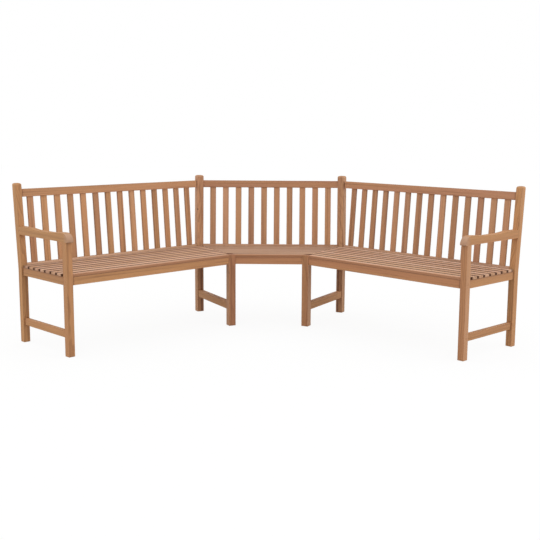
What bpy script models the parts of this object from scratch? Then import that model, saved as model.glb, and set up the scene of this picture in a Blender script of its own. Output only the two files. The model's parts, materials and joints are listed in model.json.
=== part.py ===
"""Garden corner bench in teak: two slatted wings and a centre section between shared corner frames.

Metres, +Z up. The sitter looks along -Y, and the bench stands on Z = 0, centred under its own box.
"""

from math import cos, pi, radians, sin, tan

import bmesh
import bpy
from mathutils import Matrix, Vector

# Plan of the frames, between the centres of the uprights
WING_TURN = radians(45.0)  # each wing swings forward from the centre section
CENTRE_WIDTH = 0.938
WING_LENGTH = 1.284
CENTRE_DEPTH = 0.431
WING_DEPTH = 0.472

# Uprights
POST_WIDTH = 0.038  # outer posts and legs, square
CORNER_WIDTH = 0.044  # corner posts and legs, square
POST_TOP = 0.900
BEND_HEIGHT = 0.420  # the posts are plumb below this and lean back above it
BACK_RAKE = radians(4.38)  # lean of a wing's back
TOP_ROUND = 0.010

# Backs
TOP_RAIL_DROP = 0.0335  # from the posts' tops to the top rails
TOP_RAIL_TALL = 0.045
BACK_RAIL_THICK = 0.025
BACK_RAIL_SET = 0.0058  # rails lie behind the corner posts' front arrises
BOTTOM_RAIL_TALL = 0.064
BOTTOM_RAIL_RISE = 0.008  # above the seat
BACK_SLAT_WIDTH = 0.038
BACK_SLAT_THICK = 0.012
BACK_SLAT_HOUSING = 0.011  # depth to which a slat enters the top rail
WING_BACK_SLATS = 14
WING_BACK_MARGIN = 0.0765  # post centre to the first slat's centre
CENTRE_BACK_SLATS = 10
CENTRE_BACK_MARGIN = 0.0905

# Seat
SEAT_HEIGHT = 0.443
SEAT_SLATS = 8
SEAT_SLAT_THICK = 0.013
SEAT_SLAT_GAP = 0.010
SEAT_SLAT_EASE = 0.0015
SEAT_REAR_SPACE = 0.004  # first slat in front of the uprights
SEAT_FRONT_SET = 0.003  # seat front behind the corner legs' front arrises
MITRE_GAP = 0.003
SEAT_RAIL_TALL = 0.0455
SEAT_RAIL_THICK = 0.025
STRETCHER_UNDERSIDE = 0.100
STRETCHER_TALL = 0.040
STRETCHER_THICK = 0.022
CORNER_STRETCHER_TALL = 0.045
CORNER_RAIL_THICK = 0.036  # corner bearers, which carry two sections, and corner stretchers

# Armrests
ARM_UNDERSIDE = 0.6155
ARM_WIDTH = 0.038
ARM_REAR_THICK = 0.0455
ARM_DIP_THICK = 0.039
ARM_FRONT_THICK = 0.048
ARM_OVERHANG = 0.0160  # in front of the leg
ARM_NOSE_LENGTH = 0.049
ARM_REAR_FLAT = 0.090  # from the rear post's centre
ARM_DIP_START = 0.190
ARM_DIP_END = 0.300
ARM_EASE = 0.003

# Joints
JOINT_GAP = 0.0003
TENON_THICK = 0.010
TENON_SHOULDER = 0.008  # from a rail's edge to its tenon
TENON_WALL = 0.002  # wood left between tenons that meet in an upright
TENON_ROOT = 0.020
STUB_DEPTH = 0.008  # tenons of the middle bearers
LEG_TENON_WIDTH = 0.018
LEG_TENON_TALL = 0.015
EASE = 0.0022  # rounding of the long arrises

# Teak as it looks under soft light
HEARTWOOD = (0.47, 0.235, 0.115)
SEAT_TONE = (0.56, 0.33, 0.21)
SLAT_TONE = (0.50, 0.27, 0.14)
ROUGHNESS = 0.55

UP = Vector((0.0, 0.0, 1.0))
AHEAD = Vector((1.0, 0.0, 0.0))

for old in list(bpy.data.objects):
    bpy.data.objects.remove(old)

bench = bpy.data.collections.new("corner_bench")
cutters = bpy.data.collections.new("corner_bench_cutters")
bpy.context.scene.collection.children.link(bench)
bpy.context.scene.collection.children.link(cutters)

floor_point = bpy.data.objects.new("corner_bench_origin", None)
bench.objects.link(floor_point)


# Meshes and modifiers


def wood(name, tone):
    material = bpy.data.materials.new(name + "_teak")
    material.use_nodes = True
    shader = material.node_tree.nodes["Principled BSDF"]
    shader.inputs["Base Color"].default_value = (*tone, 1.0)
    shader.inputs["Roughness"].default_value = ROUGHNESS
    shader.inputs["Metallic"].default_value = 0.0
    material.diffuse_color = (*tone, 1.0)
    return material


def piece_of(mesh, name, place, tone=HEARTWOOD):
    """A visible part of the bench."""
    piece = bpy.data.objects.new(name, mesh)
    piece.matrix_basis = place
    piece.parent = floor_point
    mesh.materials.append(wood(name, tone))
    bench.objects.link(piece)
    return piece


def cutter_of(mesh, name, place):
    """A tenon or mortise block, which only serves the Booleans."""
    block = bpy.data.objects.new(name, mesh)
    block.matrix_basis = place
    block.parent = floor_point
    block.hide_render = True
    block.display_type = "WIRE"
    cutters.objects.link(block)
    return block


def cube_mesh(name, sizes, centres=(Vector(),)):
    """One cuboid of the given sizes, or one at each centre."""
    shape = bmesh.new()
    for centre in centres:
        place = Matrix.Translation(centre) @ Matrix.Diagonal((*sizes, 1.0))
        bmesh.ops.create_cube(shape, size=1.0, matrix=place)
    mesh = bpy.data.meshes.new(name)
    shape.to_mesh(mesh)
    shape.free()
    return mesh


def boolean(piece, operation, other):
    step = piece.modifiers.new(other.name, "BOOLEAN")
    step.operation = operation
    step.solver = "EXACT"
    step.object = other


def ease_edges(piece, radius_of, segments=2):
    """Rounds each edge by the radius that radius_of gives for its ends."""
    shape = bmesh.new()
    shape.from_mesh(piece.data)
    weights = shape.edges.layers.float.new("bevel_weight_edge")
    radii = [radius_of(*(vert.co for vert in edge.verts)) for edge in shape.edges]
    widest = max(radii)
    for edge, radius in zip(shape.edges, radii):
        edge[weights] = radius / widest
    shape.to_mesh(piece.data)
    shape.free()
    step = piece.modifiers.new("eased_edges", "BEVEL")
    step.limit_method = "WEIGHT"
    step.width = widest
    step.segments = segments
    step.loop_slide = False


def ease_long_edges(piece, axis=0):
    """Rounds the arrises that run the length of a board."""

    def radius_of(start, end):
        run = (end - start).normalized()
        return EASE if abs(run[axis]) > 0.9 else 0.0

    ease_edges(piece, radius_of)


def trim(piece, plane):
    """Saws off what lies behind a plane, and leaves the joint's gap in front of it."""
    point, normal = plane
    turned = piece.matrix_basis.to_3x3().transposed()
    shape = bmesh.new()
    shape.from_mesh(piece.data)
    bmesh.ops.bisect_plane(
        shape,
        geom=[*shape.verts, *shape.edges, *shape.faces],
        dist=0.000001,
        plane_co=piece.matrix_basis.inverted() @ (point + normal * JOINT_GAP),
        plane_no=(turned @ normal).normalized(),
        clear_inner=True,
    )
    bmesh.ops.remove_doubles(shape, verts=shape.verts, dist=0.000001)
    rim = [edge for edge in shape.edges if edge.is_boundary]
    bmesh.ops.holes_fill(shape, edges=rim)
    bmesh.ops.recalc_face_normals(shape, faces=shape.faces)
    shape.to_mesh(piece.data)
    shape.free()


# Axes and planes


def axes(origin, ahead, slope=0.0):
    """A frame with X ahead, Y level to its left and Z up, tipped towards Y by the slope."""
    left = UP.cross(ahead)
    rise = (UP + left * slope).normalized()
    across = rise.cross(ahead)
    turned = Matrix((ahead, across, rise)).transposed().to_4x4()
    return Matrix.Translation(origin) @ turned


def board(name, frame, span, y, z, thick, tall, tone=HEARTWOOD):
    """A squared board along the frame's X."""
    start, end = span
    mesh = cube_mesh(name, (end - start, thick, tall))
    place = frame @ Matrix.Translation(((start + end) / 2, y, z))
    return piece_of(mesh, name, place, tone)


def tenon(piece, host, plane, frame, y, z, tall, depth):
    """Tenon on the piece along the frame's X, from the host's plane inwards, and its mortise."""
    point, normal = plane
    start = frame @ Vector((0.0, y, z))
    run = frame.to_3x3() @ AHEAD
    reach = (point - start).dot(normal) / run.dot(normal)
    inwards = -1.0 if run.dot(normal) > 0.0 else 1.0
    tip = reach + inwards * depth
    root = reach - inwards * TENON_ROOT
    centre = Vector(((tip + root) / 2, y, z))
    length = abs(tip - root)
    name = piece.name + "_in_" + host.name
    block = cube_mesh(name, (length, TENON_THICK, tall))
    place = frame @ Matrix.Translation(centre)
    boolean(piece, "UNION", cutter_of(block, name, place))
    sizes = [size + 2 * JOINT_GAP for size in (length, TENON_THICK, tall)]
    slot = cube_mesh(name + "_mortise", sizes)
    boolean(host, "DIFFERENCE", cutter_of(slot, name + "_mortise", place))


class Upright:
    """A square post or leg: plumb up to the bend, then leaning."""

    def __init__(self, name, foot, ahead, width, top, lean=Vector(), corner=False):
        self.foot = foot
        self.ahead = ahead
        self.corner = corner
        self.width = width
        self.top = top
        self.lean = lean
        self.frame = axes(foot, ahead)
        self.piece = piece_of(self.mesh(name), name, self.frame)

    def mesh(self, name):
        shape = bmesh.new()
        plumb = BEND_HEIGHT if self.lean.length else self.top
        place = Matrix.Translation((0, 0, plumb / 2))
        size = Matrix.Diagonal((self.width, self.width, plumb, 1.0))
        bmesh.ops.create_cube(shape, size=1.0, matrix=place @ size)
        if self.lean.length:
            rise = self.top - plumb
            shift = self.frame.to_3x3().transposed() @ (self.lean + UP) * rise
            head = max(shape.faces, key=lambda face: face.calc_center_median().z)
            grown = bmesh.ops.extrude_face_region(shape, geom=[head])["geom"]
            moved = [part for part in grown if isinstance(part, bmesh.types.BMVert)]
            bmesh.ops.translate(shape, vec=shift, verts=moved)
            if head.is_valid:
                bmesh.ops.delete(shape, geom=[head], context="FACES_ONLY")
        mesh = bpy.data.meshes.new(name)
        shape.to_mesh(mesh)
        shape.free()
        return mesh

    def ease(self, top_radius):
        def radius_of(start, end):
            if abs((end - start).normalized().z) > 0.9:
                return EASE
            if min(start.z, end.z) > self.top - EASE:
                return top_radius
            return EASE if max(start.z, end.z) < EASE else 0.0

        ease_edges(self.piece, radius_of, segments=3)

    def centre(self, z):
        return self.foot + UP * z + self.lean * max(0.0, z - BEND_HEIGHT)

    def face(self, towards, z):
        """The plane of the side that looks towards a direction, at a height."""
        turned = self.frame.to_3x3()
        sides = [turned @ Vector(side) for side in ((1, 0, 0), (-1, 0, 0), (0, 1, 0), (0, -1, 0))]
        normal = max(sides, key=towards.dot)
        point = self.centre(z) + normal * (self.width / 2)
        if z > BEND_HEIGHT:
            normal = (normal - UP * normal.dot(self.lean)).normalized()
        return point, normal

    def tenon_depth(self):
        return (self.width - TENON_THICK) / 2 - TENON_WALL


def fit_between(piece, uprights, frame, y, z, tall):
    """Trims a rail to the uprights at its ends and tenons it into them."""
    run = frame.to_3x3() @ AHEAD
    middle = frame @ Vector((0.0, y, z))
    half = (frame.to_3x3() @ UP).z * tall / 2
    levels = [middle.z - half, middle.z + half]
    if (levels[0] > BEND_HEIGHT) == (levels[1] > BEND_HEIGHT):
        levels.pop()
    for upright, towards in zip(uprights, (run, -run)):
        for level in levels:
            trim(piece, upright.face(towards, level))
    ease_long_edges(piece)
    for upright, towards in zip(uprights, (run, -run)):
        plane = upright.face(towards, middle.z)
        depth = upright.tenon_depth()
        tenon(piece, upright.piece, plane, frame, y, z, tall - 2 * TENON_SHOULDER, depth)


# Layout


def wing_ahead(side):
    """Direction from the corner post to the wing's outer post: side is -1 left, +1 right."""
    return Vector((side * cos(WING_TURN), -sin(WING_TURN), 0.0))


def wing_front(side):
    return Vector((-side * sin(WING_TURN), -cos(WING_TURN), 0.0))


def corner_foot(side):
    return Vector((side * CENTRE_WIDTH / 2, 0.0, 0.0))


def corner_leg_foot(side):
    """Where the front lines of a wing and of the centre section meet."""
    inward = (WING_DEPTH - CENTRE_DEPTH * cos(WING_TURN)) / sin(WING_TURN)
    return corner_foot(side) + Vector((-side * inward, -CENTRE_DEPTH, 0.0))


def corner_run(side):
    return (corner_leg_foot(side) - corner_foot(side)).normalized()


# A corner post lies in the raked planes of both backs that it carries.
WING_SLOPE = tan(BACK_RAKE)
CENTRE_SLOPE = WING_SLOPE / cos(WING_TURN)
CORNER_LEAN = Vector((0.0, CENTRE_SLOPE, 0.0))

SLAT_UNDERSIDE = SEAT_HEIGHT - SEAT_SLAT_THICK
SEAT_RAIL_TOP = SLAT_UNDERSIDE - JOINT_GAP
SEAT_RAIL_MIDDLE = SEAT_RAIL_TOP - SEAT_RAIL_TALL / 2


class Section:
    """A straight run of seat and back between two frames."""

    def __init__(self, name, rear, front, depth, slope, back_slats, back_margin):
        self.name = name
        self.rear = rear
        self.front = front
        self.depth = depth
        self.back_slats = back_slats
        self.back_margin = back_margin
        start, end = (upright.foot for upright in rear)
        self.length = (end - start).length
        ahead = (end - start).normalized()
        self.frame = axes((start + end) / 2, ahead)
        self.raked = axes((start + end) / 2 + UP * BEND_HEIGHT, ahead, slope)
        self.stretch = (UP + Vector((0.0, slope, 0.0))).length
        self.forward = -(self.frame.to_3x3() @ Vector((0.0, 1.0, 0.0)))
        self.corner_angle = max(upright.ahead.angle(self.forward) for upright in rear)

    def near_arris(self):
        """Front arris of a corner upright, on the section's side, ahead of its centre."""
        return CORNER_WIDTH / 2 * (cos(self.corner_angle) - sin(self.corner_angle))

    def far_arris(self):
        return CORNER_WIDTH / 2 * (cos(self.corner_angle) + sin(self.corner_angle))

    def rail_middle(self):
        """Y of the back's middle plane in the raked frame."""
        return BACK_RAIL_THICK / 2 + BACK_RAIL_SET - self.near_arris()

    def raked_z(self, height):
        return (height - BEND_HEIGHT) * self.stretch

    def seat_front(self):
        return self.depth + self.near_arris() - SEAT_FRONT_SET

    def seat_rear(self):
        return max(self.far_arris(), POST_WIDTH / 2) + SEAT_REAR_SPACE

    def slat_width(self):
        gaps = (SEAT_SLATS - 1) * SEAT_SLAT_GAP
        return (self.seat_front() - self.seat_rear() - gaps) / SEAT_SLATS


# Frames: uprights, armrests, side rails, bearers and stretchers


def arm_rise(forward, crown):
    """Thickness of an armrest at a distance ahead of the rear post's centre."""

    def blend(low, high, start, end):
        share = min(1.0, max(0.0, (forward - start) / (end - start)))
        return low + (high - low) * (1.0 - cos(pi * share)) / 2

    if forward < ARM_DIP_END:
        return blend(ARM_REAR_THICK, ARM_DIP_THICK, ARM_REAR_FLAT, ARM_DIP_START)
    return blend(ARM_DIP_THICK, ARM_FRONT_THICK, ARM_DIP_END, crown)


def arm_outline(length):
    """Side view of an armrest: flat below, dipped above and round at the nose."""
    crown = length - ARM_NOSE_LENGTH
    points = [(0.0, 0.0), (length - ARM_EASE, 0.0)]
    for step in range(7):
        turn = pi / 2 * (step + 0.5) / 7
        reach = ARM_NOSE_LENGTH * cos(turn)
        points.append((crown + reach, ARM_FRONT_THICK * sin(turn)))
    steps = 16
    for step in range(steps + 1):
        forward = crown * (1.0 - step / steps)
        points.append((forward, arm_rise(forward, crown)))
    return points


def armrest(name, frame, length):
    """The outline is drawn in the frame's X and Z and has its thickness along Y."""
    outline = bpy.data.curves.new(name, "CURVE")
    outline.dimensions = "2D"
    outline.fill_mode = "BOTH"
    outline.extrude = ARM_WIDTH / 2
    points = arm_outline(length)
    spline = outline.splines.new("POLY")
    spline.points.add(len(points) - 1)
    for point, (forward, rise) in zip(spline.points, points):
        point.co = (forward, rise, 0.0, 1.0)
    spline.use_cyclic_u = True
    drawn = bpy.data.objects.new(name + "_outline", outline)
    upended = Matrix.Translation((0, 0, ARM_UNDERSIDE)) @ Matrix.Rotation(pi / 2, 4, "X")
    drawn.matrix_basis = frame @ upended
    cutters.objects.link(drawn)
    solid = bpy.data.meshes.new_from_object(drawn.evaluated_get(bpy.context.evaluated_depsgraph_get()))
    shape = bmesh.new()
    shape.from_mesh(solid)
    bmesh.ops.remove_doubles(shape, verts=shape.verts, dist=0.00001)
    shape.to_mesh(solid)
    shape.free()
    solid.materials.clear()
    place = drawn.matrix_basis.copy()
    bpy.data.objects.remove(drawn)
    return piece_of(solid, name, place)


def end_frame(side, word):
    """Outer rear post, front leg, armrest, seat side rail and lower stretcher."""
    forward = wing_front(side)
    rear_foot = corner_foot(side) + wing_ahead(side) * WING_LENGTH
    front_foot = rear_foot + forward * WING_DEPTH
    lean = -forward * WING_SLOPE
    post = Upright(word + "_rear_post", rear_foot, forward, POST_WIDTH, POST_TOP, lean)
    leg_top = ARM_UNDERSIDE - JOINT_GAP
    leg = Upright(word + "_front_leg", front_foot, forward, POST_WIDTH, leg_top)
    post.ease(TOP_ROUND)
    leg.ease(0.0)
    frame = axes(rear_foot, forward)
    span = (0.0, WING_DEPTH)
    stretcher_middle = STRETCHER_UNDERSIDE + STRETCHER_TALL / 2
    rows = (
        ("_seat_side_rail", SEAT_RAIL_MIDDLE, SEAT_RAIL_THICK, SEAT_RAIL_TALL),
        ("_lower_stretcher", stretcher_middle, STRETCHER_THICK, STRETCHER_TALL),
    )
    for name, z, thick, tall in rows:
        rail = board(word + name, frame, span, 0.0, z, thick, tall)
        fit_between(rail, (post, leg), frame, 0.0, z, tall)
    arm = armrest(word + "_armrest", frame, WING_DEPTH + POST_WIDTH / 2 + ARM_OVERHANG)
    middle = ARM_UNDERSIDE + ARM_REAR_THICK / 2
    plane = post.face(forward, middle)
    trim(arm, plane)
    step = arm.modifiers.new("eased_edges", "BEVEL")
    step.limit_method = "ANGLE"
    step.angle_limit = radians(40)
    step.width = ARM_EASE
    step.segments = 2
    arm.data.shade_smooth()
    arm.data.set_sharp_from_angle(angle=radians(40))
    tall = ARM_REAR_THICK - 2 * TENON_SHOULDER
    tenon(arm, post.piece, plane, frame, 0.0, middle, tall, post.tenon_depth())
    # The leg's own tenon stands in the armrest.
    name = leg.piece.name + "_top_tenon"
    low = ARM_UNDERSIDE - TENON_ROOT
    high = ARM_UNDERSIDE + LEG_TENON_TALL
    place = frame @ Matrix.Translation((WING_DEPTH, 0.0, (low + high) / 2))
    sizes = (LEG_TENON_WIDTH, LEG_TENON_WIDTH, high - low)
    boolean(leg.piece, "UNION", cutter_of(cube_mesh(name, sizes), name, place))
    sizes = [size + 2 * JOINT_GAP for size in sizes]
    slot = cutter_of(cube_mesh(name + "_mortise", sizes), name + "_mortise", place)
    boolean(arm, "DIFFERENCE", slot)
    return post, leg


def corner_frame(side, word):
    """Corner post and leg with the bearer and stretcher between them."""
    ahead = corner_run(side)
    rear_foot = corner_foot(side)
    front_foot = corner_leg_foot(side)
    post = Upright(
        word + "_corner_post", rear_foot, ahead, CORNER_WIDTH, POST_TOP, CORNER_LEAN, corner=True
    )
    leg = Upright(word + "_corner_leg", front_foot, ahead, CORNER_WIDTH, SEAT_HEIGHT, corner=True)
    post.ease(TOP_ROUND)
    leg.ease(EASE)
    frame = axes(rear_foot, ahead)
    span = (0.0, (front_foot - rear_foot).length)
    stretcher_middle = STRETCHER_UNDERSIDE + CORNER_STRETCHER_TALL / 2
    rows = (
        ("_corner_bearer", SEAT_RAIL_MIDDLE, SEAT_RAIL_TALL),
        ("_corner_stretcher", stretcher_middle, CORNER_STRETCHER_TALL),
    )
    for name, z, tall in rows:
        rail = board(word + name, frame, span, 0.0, z, CORNER_RAIL_THICK, tall)
        fit_between(rail, (post, leg), frame, 0.0, z, tall)
    return post, leg


# Backs and seats


def back_slat_places(section, low, high):
    """Centres of the back's slats in the raked frame, between two heights on it."""
    first = section.back_margin - section.length / 2
    pitch = -2 * first / (section.back_slats - 1)
    level = (low + high) / 2
    y = section.rail_middle()
    return [Vector((first + pitch * count, y, level)) for count in range(section.back_slats)]


def back_of(section):
    """Top rail, and the bottom rail with the upright slats that it carries."""
    span = (-section.length / 2, section.length / 2)
    y = section.rail_middle()
    top_edge = section.raked_z(POST_TOP - TOP_RAIL_DROP)
    top_middle = top_edge - TOP_RAIL_TALL / 2
    low_edge = section.raked_z(SEAT_HEIGHT + BOTTOM_RAIL_RISE)
    low_middle = low_edge - BOTTOM_RAIL_TALL / 2
    top = board(
        section.name + "_top_rail", section.raked, span, y, top_middle, BACK_RAIL_THICK, TOP_RAIL_TALL
    )
    fit_between(top, section.rear, section.raked, y, top_middle, TOP_RAIL_TALL)
    low = board(
        section.name + "_slatted_back", section.raked, span, y, low_middle, BACK_RAIL_THICK,
        BOTTOM_RAIL_TALL, SLAT_TONE,
    )
    fit_between(low, section.rear, section.raked, y, low_middle, BOTTOM_RAIL_TALL)

    start = low_middle
    end = top_edge - TOP_RAIL_TALL + BACK_SLAT_HOUSING
    name = section.name + "_back_slats"
    sizes = (BACK_SLAT_WIDTH, BACK_SLAT_THICK, end - start)
    slats = cutter_of(cube_mesh(name, sizes, back_slat_places(section, start, end)), name, section.raked)
    ease_long_edges(slats, axis=2)
    boolean(low, "UNION", slats)
    name = section.name + "_slat_housings"
    sizes = [size + 2 * JOINT_GAP for size in sizes]
    slots = cutter_of(cube_mesh(name, sizes, back_slat_places(section, start, end)), name, section.raked)
    boolean(top, "DIFFERENCE", slots)
    return low


def seat_of(section, back):
    """Front apron, middle bearer and the slats across them."""
    frame = section.frame
    ends = [sign * section.length / 2 for sign in (-1, 1)]
    apron_middle = SEAT_RAIL_THICK / 2 - section.seat_front()
    apron_span = [frame_x(section, upright.foot) for upright in section.front]
    apron = board(
        section.name + "_apron", frame, apron_span, apron_middle, SEAT_RAIL_MIDDLE, SEAT_RAIL_THICK,
        SEAT_RAIL_TALL,
    )
    fit_between(apron, section.front, frame, apron_middle, SEAT_RAIL_MIDDLE, SEAT_RAIL_TALL)

    cross = axes(frame.translation, section.forward)
    bearer = board(
        section.name + "_middle_bearer", cross, (0.0, section.depth), 0.0, SEAT_RAIL_MIDDLE,
        SEAT_RAIL_THICK, SEAT_RAIL_TALL,
    )
    rail_front = section.rail_middle() - BACK_RAIL_THICK / 2
    back_plane = (
        section.raked @ Vector((0.0, rail_front, 0.0)),
        -(section.raked.to_3x3() @ Vector((0.0, 1.0, 0.0))),
    )
    apron_plane = (
        frame @ Vector((0.0, apron_middle + SEAT_RAIL_THICK / 2, 0.0)),
        -section.forward,
    )
    trim(bearer, back_plane)
    trim(bearer, apron_plane)
    ease_long_edges(bearer)
    tall = SEAT_RAIL_TALL - 2 * TENON_SHOULDER
    tenon(bearer, back, back_plane, cross, 0.0, SEAT_RAIL_MIDDLE, tall, STUB_DEPTH)
    tenon(bearer, apron, apron_plane, cross, 0.0, SEAT_RAIL_MIDDLE, tall, STUB_DEPTH)

    width = section.slat_width()
    level = SLAT_UNDERSIDE + SEAT_SLAT_THICK / 2
    for count in range(SEAT_SLATS):
        name = f"{section.name}_seat_slat_{count + 1}"
        forward = section.seat_rear() + width / 2 + count * (width + SEAT_SLAT_GAP)
        span = list(ends)
        if not section.rear[0].corner:
            span[0] -= SEAT_RAIL_THICK / 2
        if not section.rear[1].corner:
            span[1] += SEAT_RAIL_THICK / 2
        slat = board(name, frame, span, -forward, level, width, SEAT_SLAT_THICK, SEAT_TONE)
        front_slat = count == SEAT_SLATS - 1
        run = frame.to_3x3() @ AHEAD
        for rear, front, towards in zip(section.rear, section.front, (run, -run)):
            if front_slat:
                trim(slat, front.face(towards, level))
            elif rear.corner:
                trim(slat, mitre_plane(rear, front, towards))
        ease_slat(slat)


def mitre_plane(rear, front, towards):
    """The upright plane over a corner bearer where the slats of two sections meet."""
    along = (front.foot - rear.foot).normalized()
    normal = UP.cross(along)
    if normal.dot(towards) < 0:
        normal = -normal
    return rear.foot + normal * (MITRE_GAP / 2), normal


def ease_slat(slat):
    """Long arrises fully eased, sawn ends only broken."""

    def radius_of(start, end):
        run = (end - start).normalized()
        return SEAT_SLAT_EASE if abs(run.x) > 0.9 else SEAT_SLAT_EASE / 2

    ease_edges(slat, radius_of)


def frame_x(section, point):
    return (section.frame.inverted() @ point).x


# The whole bench

left_outer = end_frame(-1, "left")
left_corner = corner_frame(-1, "left")
right_corner = corner_frame(1, "right")
right_outer = end_frame(1, "right")

runs = (
    ("left_wing", left_outer, left_corner, WING_DEPTH, WING_SLOPE, WING_BACK_SLATS, WING_BACK_MARGIN),
    (
        "centre", left_corner, right_corner, CENTRE_DEPTH, CENTRE_SLOPE, CENTRE_BACK_SLATS,
        CENTRE_BACK_MARGIN,
    ),
    ("right_wing", right_corner, right_outer, WING_DEPTH, WING_SLOPE, WING_BACK_SLATS, WING_BACK_MARGIN),
)
for name, (rear_left, front_left), (rear_right, front_right), *sizes in runs:
    section = Section(name, (rear_left, rear_right), (front_left, front_right), *sizes)
    seat_of(section, back_of(section))

# The origin goes under the middle of the bench's box.
bpy.context.view_layer.update()
graph = bpy.context.evaluated_depsgraph_get()
reach = []
for piece in bench.objects:
    if piece.type == "MESH":
        solid = piece.evaluated_get(graph)
        reach += [(solid.matrix_world @ vert.co).y for vert in solid.data.vertices]
floor_point.location.y = -(min(reach) + max(reach)) / 2
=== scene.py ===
"""Looks of the teak corner bench: sanded wood on every timber, pegs, and a plain studio."""

import json
from itertools import count
from math import cos, pi, radians, sin
from random import Random

import bmesh
import bpy
import numpy as np
from bpy.props import FloatProperty, FloatVectorProperty, PointerProperty
from mathutils import Matrix, Vector


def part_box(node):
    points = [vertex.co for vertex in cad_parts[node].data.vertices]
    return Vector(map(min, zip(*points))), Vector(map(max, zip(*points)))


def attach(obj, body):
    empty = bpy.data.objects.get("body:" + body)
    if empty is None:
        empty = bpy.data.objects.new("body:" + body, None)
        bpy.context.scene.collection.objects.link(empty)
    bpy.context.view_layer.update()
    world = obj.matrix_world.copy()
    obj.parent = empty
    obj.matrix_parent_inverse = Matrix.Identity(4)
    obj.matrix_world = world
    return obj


bl_info = {
    "name": "Teak Corner Bench",
    "version": (1, 0, 0),
    "blender": (4, 5, 0),
    "location": "View3D > Sidebar > Bench",
    "description": "Finishes a slatted corner bench in sanded teak and sets up its studio",
    "category": "Object",
}

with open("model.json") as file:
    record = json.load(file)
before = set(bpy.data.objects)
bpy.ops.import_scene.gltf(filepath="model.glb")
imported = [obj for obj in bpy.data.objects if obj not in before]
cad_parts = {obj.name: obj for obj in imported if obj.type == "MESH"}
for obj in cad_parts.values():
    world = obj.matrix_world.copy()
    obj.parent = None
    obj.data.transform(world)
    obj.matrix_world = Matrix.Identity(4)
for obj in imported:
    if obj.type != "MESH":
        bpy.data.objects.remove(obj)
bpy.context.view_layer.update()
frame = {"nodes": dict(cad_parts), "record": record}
NODES = frame["nodes"]
FEET = {mount["name"]: Vector(mount["pos_m"]) for mount in frame["record"]["mounts"]}
UP = Vector((0.0, 0.0, 1.0))


def heading(start, end):
    """Level direction from one foot to another."""
    return (FEET["foot_" + end] - FEET["foot_" + start]).normalized()


# The three sections from left to right, each between two posts, and the frames that part them
RUN_FEET = {
    "left_wing": ("left_rear_post", "left_corner_post"),
    "centre": ("left_corner_post", "right_corner_post"),
    "right_wing": ("right_corner_post", "right_rear_post"),
}
RUNS = {run: heading(*feet) for run, feet in RUN_FEET.items()}
SIDES = ("left", "right")
ENDS = {side: heading(side + "_rear_post", side + "_front_leg") for side in SIDES}
CORNERS = {side: heading(side + "_corner_post", side + "_corner_leg") for side in SIDES}

# How many slats each back has, and how far the first stands from the middle of its post
BACK_SLATS = {"left_wing": (14, 0.0765), "centre": (10, 0.0905), "right_wing": (14, 0.0765)}
SEAT_SLATS = 8
BOTTOM_RAIL_TOP = 0.451
TENON_LENGTH = 0.020

# Browns, greys and a pale for single places of the wood. The knot and heart browns are also used
# for painted shade under the seat, in the seat's gaps, on shaded faces and low on the corner
# posts. There is painted shade on the seat's front edge, a grey painted on the tops of the top
# rails, a bleached grey for the arm noses, and a pale for faces painted lighter where side light
# falls
KNOT_AND_SHADE_BROWN = (0.10, 0.036, 0.016)
HEART_AND_SHADE_BROWN = (0.26, 0.105, 0.055)
FRONT_EDGE_SHADE = (0.41, 0.180, 0.085)
TOP_GREY = (0.30, 0.185, 0.115)
BLEACHED = (0.50, 0.32, 0.235)
PALE = (0.74, 0.44, 0.26)

# Boards plainly paler or darker, more golden or redder than the rest: shade, golden, red
BOARDS = {
    "left_rear_post": (1.16, 0.5, 0.0),
    "left_wing_top_rail": (1.10, 0.3, 0.0),
    "left_wing_apron": (1.16, 0.5, 0.0),
    "right_rear_post": (1.08, 0.2, 0.0),
    "right_wing_top_rail": (0.96, 0.0, 0.3),
    "right_wing_apron": (1.14, 0.0, 0.5),
    "centre_top_rail": (0.94, 0.0, 0.2),
    "centre_apron": (1.05, 0.0, 0.5),
    "left_corner_leg": (0.96, 0.0, 0.4),
    "right_corner_leg": (0.96, 0.0, 0.4),
    "left_front_leg": (1.04, 0.1, 0.2),
    "right_front_leg": (1.04, 0.2, 0.2),
    "left_armrest": (0.98, 0.6, 0.0),
    "right_armrest": (1.04, 0.3, 0.0),
    "left_wing_slatted_back": (1.09, 0.2, 0.0),
    "right_wing_slatted_back": (0.97, 0.0, 0.1),
}
PLAIN_BOARD = (1.0, 0.0, 0.0)
PALE_BOARD = (1.04, 0.0, 0.0)

# How far boards of one kind differ in shade
BOARD_SPREAD = 0.07
BACK_SLAT_SPREAD = 0.13
BOTTOM_RAIL_SPREAD = 0.04
SEAT_SLAT_SPREAD = 0.06
PEG_SPREAD = 0.10

# How dark end grain is on a sawn end, on the sanded nose of an arm and on the end of a seat slat
END_DARK = 0.34
ARM_END_DARK = 0.05
SEAT_END_DARK = 0.10

# Where the seeds of each group's random draws begin
FRAME_SEED = 101
ARM_SEED = 201
TOP_RAIL_SEED = 301
SLATTED_BACK_SEED = 321
SEAT_SEED = 401

# Painted light and shade on single faces: outward faces painted paler where side light falls, and
# some forward faces painted darker brown where they lie in shade: which face, how much, what
# colour
FACE_LIGHT_AND_SHADE = {
    "left_corner_leg": (("outward", 0.35, PALE),),
    "right_corner_leg": (("outward", 0.50, PALE), ("forward", 0.08, HEART_AND_SHADE_BROWN)),
    "right_front_leg": (("outward", 0.30, PALE), ("forward", 0.14, HEART_AND_SHADE_BROWN)),
    "left_rear_post": (("forward", 0.22, HEART_AND_SHADE_BROWN),),
}

# Knots that show on a few faces: where they are and how large
KNOTS = {
    "left_corner_post": (((-0.4760, 0.5990, 0.6800), 0.008),),
    "left_corner_leg": (((-0.2445, 0.1450, 0.3318), 0.009),),
}


# Sizes and colours that a user would change


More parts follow.
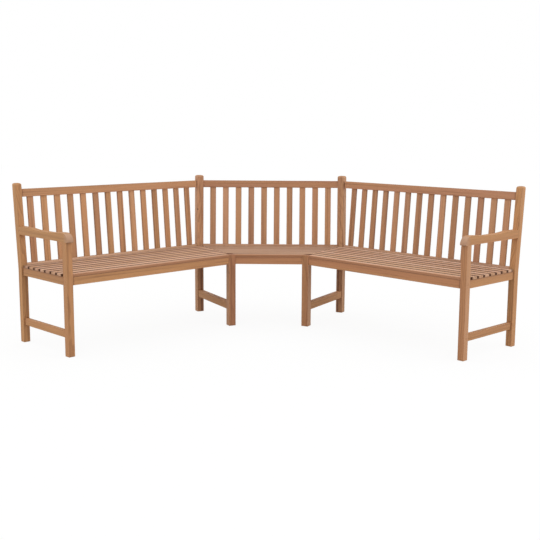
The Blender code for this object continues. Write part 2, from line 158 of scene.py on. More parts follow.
class WoodSettings(bpy.types.PropertyGroup):
    """Teak as it comes from the sander."""

    frame_tone: FloatVectorProperty(
        name="Frame", description="Posts, legs and rails", subtype="COLOR", size=3,
        default=(0.58, 0.275, 0.118),
    )
    back_tone: FloatVectorProperty(
        name="Back slats", description="Upright slats of the backs", subtype="COLOR", size=3,
        default=(0.63, 0.345, 0.203),
    )
    seat_tone: FloatVectorProperty(
        name="Seat slats", description="Paler, slightly pink boards of the seat",
        subtype="COLOR", size=3, default=(0.90, 0.575, 0.395),
    )
    golden_wood: FloatVectorProperty(
        name="Golden wood", description="Yellower boards and bands", subtype="COLOR", size=3,
        default=(0.61, 0.325, 0.125),
    )
    red_wood: FloatVectorProperty(
        name="Red wood", description="Redder, browner boards", subtype="COLOR", size=3,
        default=(0.50, 0.215, 0.115),
    )
    # Also used for painted shade: the line at each joint's shoulder, and the seams and sides of
    # the back slats
    dark_grain_and_shade: FloatVectorProperty(
        name="Dark grain", description="Late wood, streaks, pores and shadowed joints",
        subtype="COLOR", size=3, default=(0.18, 0.066, 0.028),
    )
    worn_edge: FloatVectorProperty(
        name="Worn edge", description="Sanded edges", subtype="COLOR", size=3,
        default=(0.64, 0.40, 0.24),
    )
    late_wood: FloatProperty(
        name="Late wood", description="Strength of the dark side of each ring",
        subtype="FACTOR", default=0.38,
    )
    streaks: FloatProperty(
        name="Streaks", description="Strength of the dark streaks", subtype="FACTOR",
        default=0.50,
    )
    ring_spacing: FloatProperty(
        name="Ring spacing", description="Width of a growth ring", subtype="DISTANCE",
        unit="LENGTH", default=0.0052,
    )
    grain_depth: FloatProperty(
        name="Grain depth", description="Height of the open grain", subtype="DISTANCE",
        unit="LENGTH", default=0.0002,
    )
    roughness: FloatProperty(
        name="Roughness", description="Roughness of the sanded surface", subtype="FACTOR",
        default=0.60,
    )
    gloss: FloatProperty(
        name="Gloss", description="Strength of the mirror reflection", subtype="FACTOR",
        default=0.35,
    )


class PegSettings(bpy.types.PropertyGroup):
    """Round pegs through the tenons."""

    radius: FloatProperty(
        name="Radius", description="Radius of a peg", subtype="DISTANCE", unit="LENGTH",
        default=0.0045,
    )
    proud: FloatProperty(
        name="Proud", description="Height of a peg's end above the wood", subtype="DISTANCE",
        unit="LENGTH", default=0.0004,
    )
    depth: FloatProperty(
        name="Depth", description="Length of a peg inside the wood", subtype="DISTANCE",
        unit="LENGTH", default=0.004,
    )
    inset: FloatProperty(
        name="Inset", description="How far a peg stands from the end of the centre apron",
        subtype="DISTANCE", unit="LENGTH", default=0.030,
    )


class StudioSettings(bpy.types.PropertyGroup):
    """Camera and soft light."""

    camera_place: FloatVectorProperty(
        name="Camera", description="Where the camera stands", subtype="TRANSLATION",
        unit="LENGTH", size=3, default=(0.100, -5.3430, 1.2244),
    )
    camera_yaw: FloatProperty(
        name="Yaw", description="Turn to the right of the depth axis", subtype="ANGLE",
        default=radians(-0.9606),
    )
    camera_pitch: FloatProperty(
        name="Pitch", description="Tilt above the horizon", subtype="ANGLE",
        default=radians(-9.0378),
    )
    camera_roll: FloatProperty(
        name="Roll", description="Turn about the line of sight", subtype="ANGLE",
        default=radians(0.3074),
    )
    lens: FloatProperty(
        name="Lens", description="Focal length in millimetres", unit="CAMERA", default=60.56,
    )
    left_light: FloatProperty(
        name="Left light", description="Power of the left softbox in watts", default=6.0,
    )
    right_light: FloatProperty(
        name="Right light", description="Power of the right softbox in watts", default=22.0,
    )
    sky: FloatProperty(
        name="Sky", description="Strength of the even light all round", default=1.06,
    )


# Shader nodes written as expressions


class Value:
    """A number that varies over the surface. Python's operators on it add Math nodes."""

    def __init__(self, recipe, socket):
        self.recipe = recipe
        self.socket = socket

    def math(self, operation, *inputs):
        sockets = dict(enumerate(inputs))
        found = self.recipe.node("ShaderNodeMath", {"operation": operation}, sockets)
        return Value(self.recipe, found.outputs[0])

    def __add__(self, other):
        return self.math("ADD", self, other)

    def __radd__(self, other):
        return self.math("ADD", other, self)

    def __sub__(self, other):
        return self.math("SUBTRACT", self, other)

    def __rsub__(self, other):
        return self.math("SUBTRACT", other, self)

    def __mul__(self, other):
        return self.math("MULTIPLY", self, other)

    def __rmul__(self, other):
        return self.math("MULTIPLY", other, self)

    def __truediv__(self, other):
        return self.math("DIVIDE", self, other)

    def __rtruediv__(self, other):
        return self.math("DIVIDE", other, self)

    def __neg__(self):
        return self.math("MULTIPLY", self, -1.0)

    def __abs__(self):
        return self.math("ABSOLUTE", self)

    def above(self, other):
        return self.math("GREATER_THAN", self, other)

    def larger(self, other):
        return self.math("MAXIMUM", self, other)

    def root(self):
        return self.math("SQRT", self)

    def fraction(self):
        return self.math("FRACT", self)

    def whole(self):
        return self.math("FLOOR", self)

    def ramp(self, low, high):
        """Eases from 0 to 1 as the value goes from low to high."""
        settings = {"interpolation_type": "SMOOTHSTEP"}
        sockets = {"Value": self, "From Min": low, "From Max": high}
        found = self.recipe.node("ShaderNodeMapRange", settings, sockets)
        return Value(self.recipe, found.outputs["Result"])


class Recipe:
    """The node tree of a material or of the sky."""

    def __init__(self, owner):
        self.owner = owner
        owner.use_nodes = True
        self.tree = owner.node_tree

    def node(self, kind, settings, sockets):
        """Adds a node, sets it up, and then fills or links its sockets by name or number."""
        made = self.tree.nodes.new(kind)
        for name, setting in settings.items():
            if name == "steps":
                flat_steps(made.color_ramp, setting)
            else:
                setattr(made, name, setting)
        self.fill(made, sockets)
        return made

    def fill(self, node, sockets):
        for name, given in sockets.items():
            socket = node.inputs[name]
            if isinstance(given, Value):
                self.tree.links.new(given.socket, socket)
            elif isinstance(given, bpy.types.NodeSocket):
                self.tree.links.new(given, socket)
            else:
                socket.default_value = given

    def shade(self, sockets):
        """Fills or links the sockets of the material's own shader."""
        self.fill(self.tree.nodes["Principled BSDF"], sockets)

    def place(self):
        return self.node("ShaderNodeTexCoord", {}, {}).outputs["Object"]

    def along(self, vector, axis, offset=0.0):
        """How far a vector reaches along an axis."""
        sockets = {0: vector, 1: tuple(axis)}
        found = self.node("ShaderNodeVectorMath", {"operation": "DOT_PRODUCT"}, sockets)
        return Value(self, found.outputs["Value"]) - offset

    def turned(self, axis):
        """How far the surface is turned to an axis: 1 straight at it, 0 edge on, -1 away."""
        normal = self.node("ShaderNodeNewGeometry", {}, {}).outputs["True Normal"]
        return self.along(normal, axis)

    def faces(self, axis):
        """1 on the faces that look along an axis and 0 on the others."""
        return self.turned(axis).ramp(0.5, 0.9)

    def vector(self, x, y, z):
        return self.node("ShaderNodeCombineXYZ", {}, {"X": x, "Y": y, "Z": z}).outputs[0]

    def noise(self, vector, detail=2.0, rough=0.5):
        sockets = {"Vector": vector, "Scale": 1.0, "Detail": detail, "Roughness": rough}
        return Value(self, self.node("ShaderNodeTexNoise", {}, sockets).outputs["Fac"])

    def chance(self, number):
        """An even random share for each whole number."""
        settings = {"noise_dimensions": "1D"}
        found = self.node("ShaderNodeTexWhiteNoise", settings, {"W": number})
        return Value(self, found.outputs["Value"])

    def blend(self, share, first, second):
        """Mixes two colours."""
        settings = {"data_type": "RGBA", "clamp_result": True}
        sockets = {0: share, 6: colour(first), 7: colour(second)}
        return self.node("ShaderNodeMix", settings, sockets).outputs[2]

    def stepped(self, share, colours):
        """One flat colour after another as the share goes from 0 to 1."""
        found = self.node("ShaderNodeValToRGB", {"steps": colours}, {"Fac": share})
        return found.outputs["Color"]

    def bump(self, strength, depth, height):
        sockets = {"Strength": strength, "Distance": depth, "Height": height}
        return self.node("ShaderNodeBump", {}, sockets).outputs["Normal"]

    def rays(self, *kinds):
        """1 for rays of the kinds named and 0 for all others."""
        paths = self.node("ShaderNodeLightPath", {}, {})
        return sum(Value(self, paths.outputs[kind]) for kind in kinds)


def flat_steps(ramp, colours):
    """Divides a ramp evenly among flat colours."""
    ramp.interpolation = "CONSTANT"
    for number, tone in enumerate(colours):
        position = number / len(colours)
        stop = ramp.elements[number] if number < 2 else ramp.elements.new(position)
        stop.position = position
        stop.color = colour(tone)


def colour(given):
    """Three numbers with an alpha, or a socket as it is."""
    return given if isinstance(given, bpy.types.NodeSocket) else (*given, 1.0)


def mixed(share, first, second):
    """A colour between two others."""
    return tuple(low + (high - low) * share for low, high in zip(first, second))


# Teak


class Timber:
    """A board's own axes and sizes, read from its solid."""

    def __init__(self, node, along, across):
        points = np.array([vert.co for vert in node.data.vertices])
        self.node = node
        self.axes = (along, across, along.cross(across).normalized())
        spans = [points @ np.array(axis) for axis in self.axes]
        self.middle = [float(span.max() + span.min()) / 2 for span in spans]
        self.half = [float(span.max() - span.min()) / 2 for span in spans]

    def measure(self, recipe):
        """A point as distances from the board's middle: along it, across it, through it."""
        place = recipe.place()
        return [recipe.along(place, axis, middle) for axis, middle in zip(self.axes, self.middle)]


def named_timber(name, along, across):
    if name not in NODES:
        raise RuntimeError("the packed model has no " + name)
    return Timber(NODES[name], along, across)


def flat_direction(node):
    """The direction in which a flat piece is thinnest."""
    points = np.array([vert.co for vert in node.data.vertices])
    spread = np.linalg.svd(points - points.mean(axis=0), full_matrices=False)[2]
    return Vector(spread[2])


def board_tone(tone, luck, spread, own=PLAIN_BOARD):
    """A board's colour: its kind's colour, made paler or darker, more golden or redder."""
    wood = bpy.context.scene.bench_wood
    shade, golden, red = own
    shade = shade * (1.0 + luck.uniform(-spread, spread))
    tone = mixed(min(1.0, golden + luck.uniform(0.0, 0.4)), tone, tuple(wood.golden_wood))
    tone = mixed(min(1.0, red + luck.uniform(0.0, 0.4)), tone, tuple(wood.red_wood))
    return tuple(share * shade for share in tone)


# Waves to a metre along a board and across it, for each part of the wood's figure
SWAY_WAVES = (1.5, 7.0)
RIPPLE_WAVES = (11.0, 60.0)
STREAK_WAVES = (1.1, 75.0)
BAND_WAVES = (0.8, 26.0)
FIBRE_WAVES = (9.0, 620.0)
PORE_WAVES = (85.0, 2100.0)

# How far the rings wander in long sways and short ripples, and lean from the board
SWAY = 0.046
RIPPLE = 0.0024
LEAN = 0.012


def figure(recipe, point, heart, far):
    """What the saw lays open: late wood, streaks, golden bands, fibres, pores, from 0 to 1.

    The heart is the middle of the tree, and far is a place along it that no other board has.
    """
    along, across, through = point
    long = along + far

    def grain(waves, detail=2.0, rough=0.5):
        length, width = waves
        stretched = recipe.vector(long * length, across * width, through * width)
        return recipe.noise(stretched, detail, rough)

    wander = (grain(SWAY_WAVES, 3.0) - 0.5) * SWAY + (grain(RIPPLE_WAVES) - 0.5) * RIPPLE
    side = across - heart[0] + long * LEAN
    deep = through - heart[1]
    radius = (side * side + deep * deep).root() + wander
    ring = radius / bpy.context.scene.bench_wood.ring_spacing
    within = ring.fraction()
    strength = recipe.chance(ring.whole()) * 0.7 + 0.3
    late = within.ramp(0.25, 0.9) * (1.0 - within.ramp(0.9, 1.0)) * strength
    streak = grain(STREAK_WAVES, 4.0, 0.6).ramp(0.50, 0.72)
    band = grain(BAND_WAVES).ramp(0.36, 0.66)
    fibre = grain(FIBRE_WAVES, 3.0, 0.6)
    pore = grain(PORE_WAVES, 1.0).ramp(0.58, 0.70)
    return late, streak, band, fibre, pore


# How strongly each part of the figure darkens or tints the wood
BAND_TINT = 0.30
FIBRE_DARK = 0.16
PORE_DARK = 0.20
EDGE_WEAR = 0.10

# How each part of the figure changes the roughness, and raises or sinks the surface
FIBRE_ROUGH = 0.16
PORE_ROUGH = 0.12
END_ROUGH = 0.10
EDGE_SMOOTH = 0.05
FIBRE_RISE = 0.5
PORE_SINK = 0.8
LATE_SINK = 0.25


def paint_teak(recipe, timber, tone, looks, marks=(), end_share=END_DARK):
    """Colours the wood from its figure and marks, and gives it its sheen and open grain."""
    wood = bpy.context.scene.bench_wood
    late, streak, band, fibre, pore = looks
    dark = tuple(wood.dark_grain_and_shade)
    turned = [abs(recipe.turned(axis)) for axis in timber.axes]
    end = turned[0].ramp(0.80, 0.95)
    eased = 1.0 - turned[0].larger(turned[1]).larger(turned[2]).ramp(0.90, 0.985)
    layers = (
        (band * BAND_TINT, tuple(wood.golden_wood)),
        (late * wood.late_wood, dark),
        (streak * wood.streaks, dark),
        (fibre.ramp(0.35, 0.75) * FIBRE_DARK + pore * PORE_DARK, dark),
        (eased * EDGE_WEAR, tuple(wood.worn_edge)),
        (end * end_share, dark),
        *marks,
    )
    base = tone
    for share, tint in layers:
        base = recipe.blend(share, base, tint)
    rougher = (fibre - 0.5) * FIBRE_ROUGH + pore * PORE_ROUGH + end * END_ROUGH
    relief = fibre * FIBRE_RISE - pore * PORE_SINK - late * LATE_SINK
    recipe.shade({
        "Base Color": base,
        "Roughness": wood.roughness + rougher - eased * EDGE_SMOOTH,
        "Normal": recipe.bump(0.6, wood.grain_depth, relief),
        "Specular IOR Level": wood.gloss,
    })


def coat(node, recipe):
    """Puts a material on all of a solid."""
    for slot in node.material_slots:
        slot.material = recipe.owner


def random_far(luck):
    """Somewhere along the tree, metres away from the other boards."""
    return luck.uniform(3.0, 40.0)


def teak(
    timber, tone, seed, spread=BOARD_SPREAD, tenoned=False, marks=None, end_share=END_DARK
):
    """Gives a board its own wood. The marks are a function that makes its own tints."""
    luck = Random(seed)
    name = timber.node.name
    recipe = Recipe(bpy.data.materials.new(name + "_teak"))
    point = timber.measure(recipe)
    side = luck.uniform(0.015, 0.09) * luck.choice((-1, 1))
    deep = luck.uniform(0.02, 0.07) * luck.choice((-1, 1))
    looks = figure(recipe, point, (side, deep), random_far(luck))
    tints = shoulder_shade_line(timber, point) if tenoned else []
    if marks is not None:
        tints.extend(marks(recipe, point))
    own = board_tone(tone, luck, spread, BOARDS.get(name, PLAIN_BOARD))
    paint_teak(recipe, timber, own, looks, tints, end_share)
    coat(timber.node, recipe)


SHOULDER_WIDTH = 0.005
SHOULDER_SHADE = 0.45


def shoulder_shade_line(timber, point):
    """A dark line painted beside each joint, where the tenon's shoulder meets the next timber:
    painted shade in the joint, with some dirt.
    """
    edge = timber.half[0] - TENON_LENGTH
    share = abs(point[0]).ramp(edge - SHOULDER_WIDTH, edge) * SHOULDER_SHADE
    return [(share, tuple(bpy.context.scene.bench_wood.dark_grain_and_shade))]


def knot(recipe, centre, radius):
    """The share of a tight dark knot round a point on a face."""
    sockets = {0: recipe.place(), 1: centre}
    found = recipe.node("ShaderNodeVectorMath", {"operation": "DISTANCE"}, sockets)
    return 1.0 - Value(recipe, found.outputs["Value"]).ramp(radius * 0.35, radius)


# Operators, one for each group of pieces


class BENCH_OT_frame(bpy.types.Operator):
    """Finish the posts, legs, rails, bearers and stretchers."""

    bl_idname = "bench.frame"
    bl_label = "Frame Timbers"

    def execute(self, context):
        wood = context.scene.bench_wood
        tone = tuple(wood.frame_tone)
        uprights = (
            ("rear_post", ENDS), ("front_leg", ENDS),
            ("corner_post", CORNERS), ("corner_leg", CORNERS),
        )
        level = (
            ("seat_side_rail", ENDS), ("lower_stretcher", ENDS),
            ("corner_bearer", CORNERS), ("corner_stretcher", CORNERS),
        )
        seeds = count(FRAME_SEED)
        for side in SIDES:
            for word, plan in uprights:
                name = f"{side}_{word}"
                shown = tuple(wood.back_tone) if word == "corner_post" else tone
                timber = named_timber(name, UP, plan[side])
                teak(timber, shown, next(seeds), marks=upright_marks(name, plan[side]))
            for word, plan in level:
                timber = named_timber(f"{side}_{word}", plan[side], UP)
                marks = None if word.endswith("stretcher") else under_seat(timber)
                teak(timber, tone, next(seeds), tenoned=True, marks=marks)
        for run, along in RUNS.items():
            for word, ahead in (("apron", along), ("middle_bearer", UP.cross(along))):
                timber = named_timber(f"{run}_{word}", ahead, UP)
                teak(timber, tone, next(seeds), tenoned=True, marks=under_seat(timber))
        return {"FINISHED"}


# Painted shade under the seat: on the tops of the rails, down their sides, and in a line at the
# slats
TOP_SHADE = 0.85
SIDE_DUSK = 0.20
SLAT_LINE = 0.30


def under_seat(timber):
    """Painted shade: the top of a rail is dark under the slats, and the wood just below is
    painted dusky.
    """
    edge = timber.half[1]

    def marks(recipe, point):
        dusk = point[1].ramp(-edge * 0.5, edge) * SIDE_DUSK
        line = point[1].ramp(edge - 0.006, edge - 0.002) * SLAT_LINE
        return [(dusk + line, HEART_AND_SHADE_BROWN), (recipe.faces(UP) * TOP_SHADE, KNOT_AND_SHADE_BROWN)]

    return marks


KNOT_DARK = 0.8


def upright_marks(name, ahead):
    """What shows on single posts and legs: faces with painted light or painted shade, small
    knots, and on the corner posts painted shade low down, heartwood and a dark streak.
    """
    aside = ahead.cross(UP)
    outward = -aside if (aside.x > 0.0) == name.startswith("left") else aside
    ways = {"forward": ahead, "outward": outward}
    inward = -1.0 if name.startswith("left") else 1.0

    def marks(recipe, point):
        found = []
        for centre, radius in KNOTS.get(name, ()):
            found.append((knot(recipe, centre, radius) * KNOT_DARK, KNOT_AND_SHADE_BROWN))
        # Painted light on outward faces and painted shade on some forward faces
        for way, share, tint in FACE_LIGHT_AND_SHADE.get(name, ()):
            found.append((recipe.faces(ways[way]) * share, tint))
        if name.endswith("corner_post"):
            found.extend(heart_and_low_shade(recipe, point, ahead, inward))
        return found

    return marks


# Painted shade on a corner post below the seat, reddish-brown heartwood on its inner side above
# it, and a dark streak that is stronger low down
LOW_SHADE = 0.35
INNER_HEART = 0.30
LOW_STREAK = 0.60
FAINT_STREAK = 0.15
STREAK_PLACE = 0.004
STREAK_WANDER = 0.003


def heart_and_low_shade(recipe, point, ahead, inward):
    """A corner post is painted in brown shade low down under the seat and has brown heartwood on
    its inner side above it, parted by a dark streak.
    """
    front = recipe.faces(ahead)
    low = 1.0 - point[0].ramp(-0.06, 0.0)
    wander = recipe.noise(recipe.vector(point[0] * 6.0, 0.0, 0.0)) - 0.5
    across = point[2] * inward + wander * STREAK_WANDER
    inner = (-across).ramp(-0.001, 0.004) * (1.0 - low)
    streak = 1.0 - abs(across - STREAK_PLACE).ramp(0.001, 0.006)
    # Painted shade below the seat and heartwood on the inner side above it, then the streak
    return [
        (front * (inner * INNER_HEART + low * LOW_SHADE), HEART_AND_SHADE_BROWN),
        (front * streak * (low * LOW_STREAK + FAINT_STREAK), KNOT_AND_SHADE_BROWN),
    ]


class BENCH_OT_arms(bpy.types.Operator):
    """Finish the armrests."""

    bl_idname = "bench.arms"
    bl_label = "Armrests"

    def execute(self, context):
        tone = tuple(context.scene.bench_wood.frame_tone)
        for seed, side in enumerate(SIDES, ARM_SEED):
            timber = named_timber(side + "_armrest", ENDS[side], UP)
            teak(timber, tone, seed, marks=bleached_nose(timber), end_share=ARM_END_DARK)
        return {"FINISHED"}


NOSE_BLEACH = 0.55
TIP_BLEACH = 0.40


def bleached_nose(timber):
    """End grain lies open round the nose of an arm and bleaches to a pinkish grey."""
    end = timber.half[0]

    def marks(recipe, point):
        forward = recipe.turned(timber.axes[0]).ramp(0.10, 0.55)
        side = abs(recipe.turned(timber.axes[2])).ramp(0.5, 0.9)
        nose = point[0].ramp(end - 0.075, end - 0.030) * NOSE_BLEACH
        tip = point[0].ramp(end - 0.050, end - 0.010) * TIP_BLEACH
        return [(forward * nose, BLEACHED), (side * tip, BLEACHED)]

    return marks


class BENCH_OT_backs(bpy.types.Operator):
    """Finish the top rails and the slatted backs."""

    bl_idname = "bench.backs"
    bl_label = "Backs"

    def execute(self, context):
        tone = tuple(context.scene.bench_wood.back_tone)
        for number, (run, along) in enumerate(RUNS.items()):
            rise = flat_direction(NODES[run + "_slatted_back"]).cross(along).normalized()
            rail = named_timber(run + "_top_rail", along, rise)
            teak(rail, tone, TOP_RAIL_SEED + number, tenoned=True, marks=grey_rail_top)
            back_teak(run, along, rise, SLATTED_BACK_SEED + number)
        return {"FINISHED"}


# How much greyer the upward face of a top rail is painted
TOP_GREY_SHARE = 0.45
# How dark the painted shade is at the feet and on the sides of the back slats
SEAM_SHADE = 0.40
FLANK_SHADE = 0.42


def grey_rail_top(recipe, point):
    """Paints the upward face of a top rail a little greyer."""
    return [(recipe.turned(UP).ramp(0.3, 0.9) * TOP_GREY_SHARE, TOP_GREY)]


def back_teak(run, along, rise, seed):
    """Gives the bottom rail of a back its wood, and each slat on it a board's own wood."""
    wood = bpy.context.scene.bench_wood
    dark = tuple(wood.dark_grain_and_shade)
    luck = Random(seed)
    slats, margin = BACK_SLATS[run]
    start, end = (FEET["foot_" + foot].dot(along) for foot in RUN_FEET[run])
    pitch = (end - start - 2.0 * margin) / (slats - 1)
    rail = named_timber(run + "_slatted_back", along, rise)
    upright = Timber(rail.node, rise, along)
    recipe = Recipe(bpy.data.materials.new(run + "_slatted_back_teak"))
    rail_looks = figure(recipe, rail.measure(recipe), (0.05, 0.03), random_far(luck))

    # Each slat has a number, its own heart and its own place along the tree
    place = recipe.place()
    from_first = recipe.along(place, along) - start - margin
    number = (from_first / pitch + 0.5).whole()
    up, _, through = upright.measure(recipe)
    side = recipe.chance(number + seed) * 0.16 - 0.08
    deep = recipe.chance(number + seed + 50.0) * 0.08 + 0.01
    point = (up, from_first - number * pitch, through)
    slat_looks = figure(recipe, point, (side, deep), number * 3.7 + random_far(luck))

    height = recipe.along(place, UP)
    on_slat = height.above(BOTTOM_RAIL_TOP)
    looks = [flat + (tall - flat) * on_slat for flat, tall in zip(rail_looks, slat_looks)]
    own = BOARDS.get(rail.node.name, PLAIN_BOARD)
    slat_tone = tuple(wood.back_tone)
    tones = [board_tone(slat_tone, luck, BACK_SLAT_SPREAD, own) for _ in range(slats)]
    rail_tone = board_tone(tuple(wood.seat_tone), luck, BOTTOM_RAIL_SPREAD, PALE_BOARD)
    tone = recipe.blend(on_slat, rail_tone, recipe.stepped((number + 0.5) / slats, tones))

    # Painted shade: a dark seam where a slat stands on the rail, and darker sides on the slats
    # where they face their neighbours
    seam_shade = on_slat - (height - BOTTOM_RAIL_TOP).ramp(0.0004, 0.0030)
    flank_shade = abs(recipe.turned(along)).ramp(0.15, 0.60) * on_slat
    marks = ((seam_shade * SEAM_SHADE, dark), (flank_shade * FLANK_SHADE, dark))
    paint_teak(recipe, upright, tone, looks, marks)
    coat(rail.node, recipe)


class BENCH_OT_seat(bpy.types.Operator):
    """Finish the seat slats."""

    bl_idname = "bench.seat"
    bl_label = "Seat Slats"

    def execute(self, context):
        tone = tuple(context.scene.bench_wood.seat_tone)
        seeds = count(SEAT_SEED)
        for run, along in RUNS.items():
            rearward = UP.cross(along)
            names = [f"{run}_seat_slat_{number + 1}" for number in range(SEAT_SLATS)]
            timbers = [named_timber(name, along, rearward) for name in names]
            timbers.sort(key=lambda timber: timber.middle[1])
            for timber in timbers:
                marks = shaded_sides(timber, timber is timbers[0], timber is timbers[-1])
                teak(
                    timber, tone, next(seeds), spread=SEAT_SLAT_SPREAD, marks=marks,
                    end_share=SEAT_END_DARK,
                )
        return {"FINISHED"}


# How far painted shade creeps over a slat's top: at a gap, at the back, at the front edge
GAP_RIM = 0.011
BACK_RIM = 0.026
FRONT_RIM = 0.022
RIM_DARK = 0.86
GAP_DARK = 0.94
FRONT_DARK = 0.85


def shaded_sides(timber, foremost, rearmost):
    """Painted shade darkens a seat slat in and along the gaps and at the seat's front edge; in
    front of the back's rail it is painted shade with some dust.
    """
    edge = timber.half[1]

    def marks(recipe, point):
        rearward = recipe.turned(timber.axes[1])

        def shaded(turned, across, reach):
            rim = across.ramp(edge - reach, edge - 0.001) * RIM_DARK
            return turned.ramp(0.15, 0.70).larger(rim)

        rear = shaded(rearward, point[1], BACK_RIM if rearmost else GAP_RIM) * GAP_DARK
        if foremost:
            front = shaded(-rearward, -point[1], FRONT_RIM) * FRONT_DARK
            return [(rear, KNOT_AND_SHADE_BROWN), (front, FRONT_EDGE_SHADE)]
        front = shaded(-rearward, -point[1], GAP_RIM) * GAP_DARK
        return [(rear, KNOT_AND_SHADE_BROWN), (front, KNOT_AND_SHADE_BROWN)]

    return marks


# Heights of the pegs through the outer faces of the end frames
PEG_HEIGHTS = {"front_leg": (0.408, 0.120), "rear_post": (0.636, 0.408, 0.120)}
PEG_SIDES = 24
RAY_START = 0.2

# A peg's end grain: specks to a metre, their depth, the width of a ring, and how dark they are
SPECK_WAVES = 2600.0
SPECK_DEPTH = 0.0001
PEG_RING = 0.0021
SPECK_DARK = 0.40
PEG_RING_DARK = 0.20
PEG_RIM_DARK = 0.80


class BENCH_OT_pegs(bpy.types.Operator):
    """Drive the round pegs that hold the tenons."""

    bl_idname = "bench.pegs"
    bl_label = "Pegs"

    def execute(self, context):
        pegs = context.scene.bench_pegs
        for side, outward in (("left", -RUNS["left_wing"]), ("right", RUNS["right_wing"])):
            for word, heights in PEG_HEIGHTS.items():
                foot = FEET[f"foot_{side}_{word}"]
                for number, height in enumerate(heights, 1):
                    aim = Vector((foot.x, foot.y, height))
                    drive_peg(f"{side}_{word}_peg_{number}", f"{side}_{word}", aim, outward)
        front = -UP.cross(RUNS["centre"])
        low, high = (Vector(corner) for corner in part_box("centre_apron"))
        for number, x in enumerate((low.x + pegs.inset, high.x - pegs.inset), 1):
            aim = Vector((x, low.y, (low.z + high.z) / 2.0))
            drive_peg(f"centre_apron_peg_{number}", "centre_apron", aim, front)
        return {"FINISHED"}


def drive_peg(name, timber, aim, outward):
    """Sets a peg into the face of a timber that is met on the way inward to the aim."""
    hit, place, normal, _ = NODES[timber].ray_cast(aim + outward * RAY_START, -outward)
    if not hit:
        raise RuntimeError("no wood was found for " + name)
    peg = bpy.data.objects.new(name, peg_mesh(name))
    peg.location = place
    peg.rotation_mode = "QUATERNION"
    peg.rotation_quaternion = normal.to_track_quat("Z", "Y")
    bpy.context.scene.collection.objects.link(peg)
    peg.data.materials.append(peg_teak(name))
    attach(peg, "root")


def peg_mesh(name):
    """A round peg with a softly domed end, along its own Z axis."""
    pegs = bpy.context.scene.bench_pegs
    radius, proud = pegs.radius, pegs.proud
    profile = (
        (radius, -pegs.depth), (radius, proud * 0.2), (radius * 0.86, proud * 0.8),
        (radius * 0.45, proud),
    )
    turns = [2.0 * pi * step / PEG_SIDES for step in range(PEG_SIDES)]
    shape = bmesh.new()
    rings = []
    for reach, height in profile:
        points = [(reach * cos(turn), reach * sin(turn), height) for turn in turns]
        rings.append([shape.verts.new(point) for point in points])
    for low, high in zip(rings, rings[1:]):
        for step in range(PEG_SIDES):
            following = (step + 1) % PEG_SIDES
            shape.faces.new((low[step], low[following], high[following], high[step]))
    shape.faces.new(list(reversed(rings[0])))
    shape.faces.new(rings[-1])
    mesh = bpy.data.meshes.new(name)
    shape.to_mesh(mesh)
    shape.free()
    return mesh


def peg_teak(name):
    """End grain of a peg: speckled, ringed, and dark round its rim."""
    wood = bpy.context.scene.bench_wood
    radius = bpy.context.scene.bench_pegs.radius
    dark = tuple(wood.dark_grain_and_shade)
    luck = Random(name)
    recipe = Recipe(bpy.data.materials.new(name + "_teak"))
    place = recipe.place()
    x, y = recipe.along(place, (1.0, 0.0, 0.0)), recipe.along(place, (0.0, 1.0, 0.0))
    out = (x * x + y * y).root()
    bow = ((x + luck.uniform(0.02, 0.03)) * (x + 0.025) + y * y).root() / PEG_RING
    fine = recipe.vector(x * SPECK_WAVES, y * SPECK_WAVES, luck.uniform(0.0, 9.0))
    speck = recipe.noise(fine)
    grain = speck.ramp(0.45, 0.65) * SPECK_DARK + bow.fraction().ramp(0.3, 1.0) * PEG_RING_DARK
    rim = out.ramp(radius * 0.84, radius * 0.99) * PEG_RIM_DARK
    base = recipe.blend(grain, board_tone(tuple(wood.frame_tone), luck, PEG_SPREAD), dark)
    base = recipe.blend(rim, base, dark)
    recipe.shade({
        "Base Color": base,
        "Roughness": wood.roughness + speck * 0.15,
        "Normal": recipe.bump(0.5, SPECK_DEPTH, 1.0 - speck),
    })
    return recipe.owner


# Studio

# The floor: how far it reaches, how white it looks, how much of that is glow, what it bounces
FLOOR_REACH = 20.0
FLOOR_SEEN = 0.96
FLOOR_GLOW = 0.91
FLOOR_BOUNCE = 0.42
SOFTBOX_PLACE = (4.6, -1.6, 2.0)
SOFTBOX_AIM = (0.7, 0.0, 0.5)
SOFTBOX_SIZE = 3.0
WHITE = (1.0, 1.0, 1.0, 1.0)


class BENCH_OT_studio(bpy.types.Operator):
    """Lay the floor, hang the lights and set the camera."""

    bl_idname = "bench.studio"
    bl_label = "Studio"

    def execute(self, context):
        settings = context.scene.bench_studio
        lay_floor()
        light_sky(settings.sky)
        hang_softbox("left_softbox", -1.0, settings.left_light)
        hang_softbox("right_softbox", 1.0, settings.right_light)
        stand_camera(settings)
        context.scene.view_settings.view_transform = "Standard"
        return {"FINISHED"}


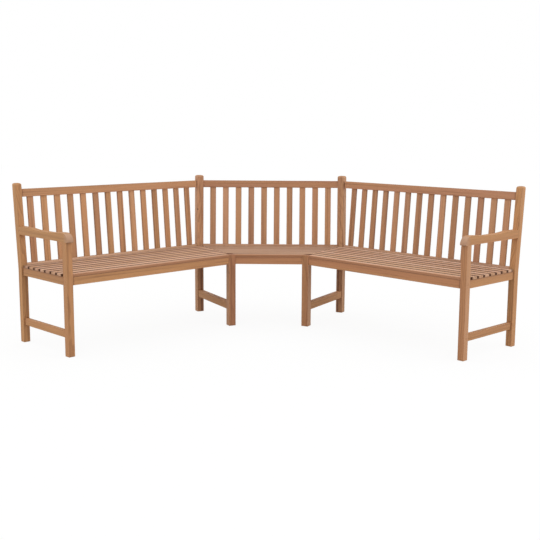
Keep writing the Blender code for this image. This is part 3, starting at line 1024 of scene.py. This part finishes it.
def lay_floor():
    """A floor that looks nearly white, keeps a faint shadow and throws back a dimmer light."""
    shape = bmesh.new()
    bmesh.ops.create_grid(shape, x_segments=1, y_segments=1, size=FLOOR_REACH)
    mesh = bpy.data.meshes.new("studio_floor")
    shape.to_mesh(mesh)
    shape.free()
    floor = bpy.data.objects.new("studio_floor", mesh)
    bpy.context.scene.collection.objects.link(floor)
    recipe = Recipe(bpy.data.materials.new("studio_white"))
    nodes = recipe.tree.nodes
    seen = recipe.rays("Is Camera Ray", "Is Glossy Ray")
    recipe.shade({
        "Base Color": recipe.blend(seen, (FLOOR_BOUNCE,) * 3, (FLOOR_SEEN,) * 3),
        "Roughness": 0.9,
        "Specular IOR Level": 0.0,
    })
    glow = recipe.node("ShaderNodeEmission", {}, {"Color": WHITE, "Strength": 1.0})
    sockets = {
        "Fac": seen * FLOOR_GLOW, 1: nodes["Principled BSDF"].outputs[0], 2: glow.outputs[0],
    }
    mixing = recipe.node("ShaderNodeMixShader", {}, sockets)
    recipe.fill(nodes["Material Output"], {"Surface": mixing.outputs[0]})
    mesh.materials.append(recipe.owner)


def light_sky(strength):
    """Even light from all round, which the camera itself sees as plain white."""
    world = bpy.data.worlds.new("studio_sky")
    recipe = Recipe(world)
    level = recipe.rays("Is Camera Ray") * (1.0 - strength) + strength
    recipe.fill(recipe.tree.nodes["Background"], {"Color": WHITE, "Strength": level})
    bpy.context.scene.world = world


def hang_softbox(name, side, power):
    """A square lamp to one side, aimed at the wing on that side."""
    place, aim = (Vector((x * side, y, z)) for x, y, z in (SOFTBOX_PLACE, SOFTBOX_AIM))
    lamp = bpy.data.lights.new(name, "AREA")
    lamp.shape = "SQUARE"
    lamp.size = SOFTBOX_SIZE
    lamp.energy = power
    box = bpy.data.objects.new(name, lamp)
    box.location = place
    box.rotation_mode = "QUATERNION"
    box.rotation_quaternion = (aim - place).to_track_quat("-Z", "Y")
    bpy.context.scene.collection.objects.link(box)


def stand_camera(settings):
    """Looks along yaw and pitch from the depth axis, then rolls about that line."""
    yaw, pitch, roll = settings.camera_yaw, settings.camera_pitch, settings.camera_roll
    sight = Vector((sin(yaw) * cos(pitch), cos(yaw) * cos(pitch), sin(pitch)))
    level = Vector((cos(yaw), -sin(yaw), 0.0))
    rise = level.cross(sight)
    right = level * cos(roll) + rise * sin(roll)
    top = rise * cos(roll) - level * sin(roll)
    lens = bpy.data.cameras.new("studio_camera")
    lens.lens = settings.lens
    lens.sensor_width = 36.0
    lens.sensor_fit = "HORIZONTAL"
    lens.clip_end = 60.0
    camera = bpy.data.objects.new("studio_camera", lens)
    turned = Matrix((right, top, -sight)).transposed().to_4x4()
    camera.matrix_world = Matrix.Translation(settings.camera_place) @ turned
    bpy.context.scene.collection.objects.link(camera)
    bpy.context.scene.camera = camera


class BENCH_PT_sidebar(bpy.types.Panel):
    """Lists the bench's operators and their settings."""

    bl_idname = "BENCH_PT_sidebar"
    bl_label = "Teak Corner Bench"
    bl_space_type = "VIEW_3D"
    bl_region_type = "UI"
    bl_category = "Bench"

    def draw(self, context):
        for operator in OPERATORS:
            self.layout.operator(operator.bl_idname)
        for name in GROUPS:
            group = getattr(context.scene, name)
            for setting in group.__annotations__:
                self.layout.prop(group, setting)


GROUPS = {"bench_wood": WoodSettings, "bench_pegs": PegSettings, "bench_studio": StudioSettings}
OPERATORS = (
    BENCH_OT_frame, BENCH_OT_arms, BENCH_OT_backs, BENCH_OT_seat, BENCH_OT_pegs,
    BENCH_OT_studio,
)


def register():
    for made in (*GROUPS.values(), *OPERATORS, BENCH_PT_sidebar):
        bpy.utils.register_class(made)
    for name, group in GROUPS.items():
        setattr(bpy.types.Scene, name, PointerProperty(type=group))


def unregister():
    for name in GROUPS:
        delattr(bpy.types.Scene, name)
    for made in (BENCH_PT_sidebar, *reversed(OPERATORS), *reversed(list(GROUPS.values()))):
        bpy.utils.unregister_class(made)


def main():
    register()
    bpy.ops.bench.frame()
    bpy.ops.bench.arms()
    bpy.ops.bench.backs()
    bpy.ops.bench.seat()
    bpy.ops.bench.pegs()
    bpy.ops.bench.studio()


if __name__ == "__main__":
    main()
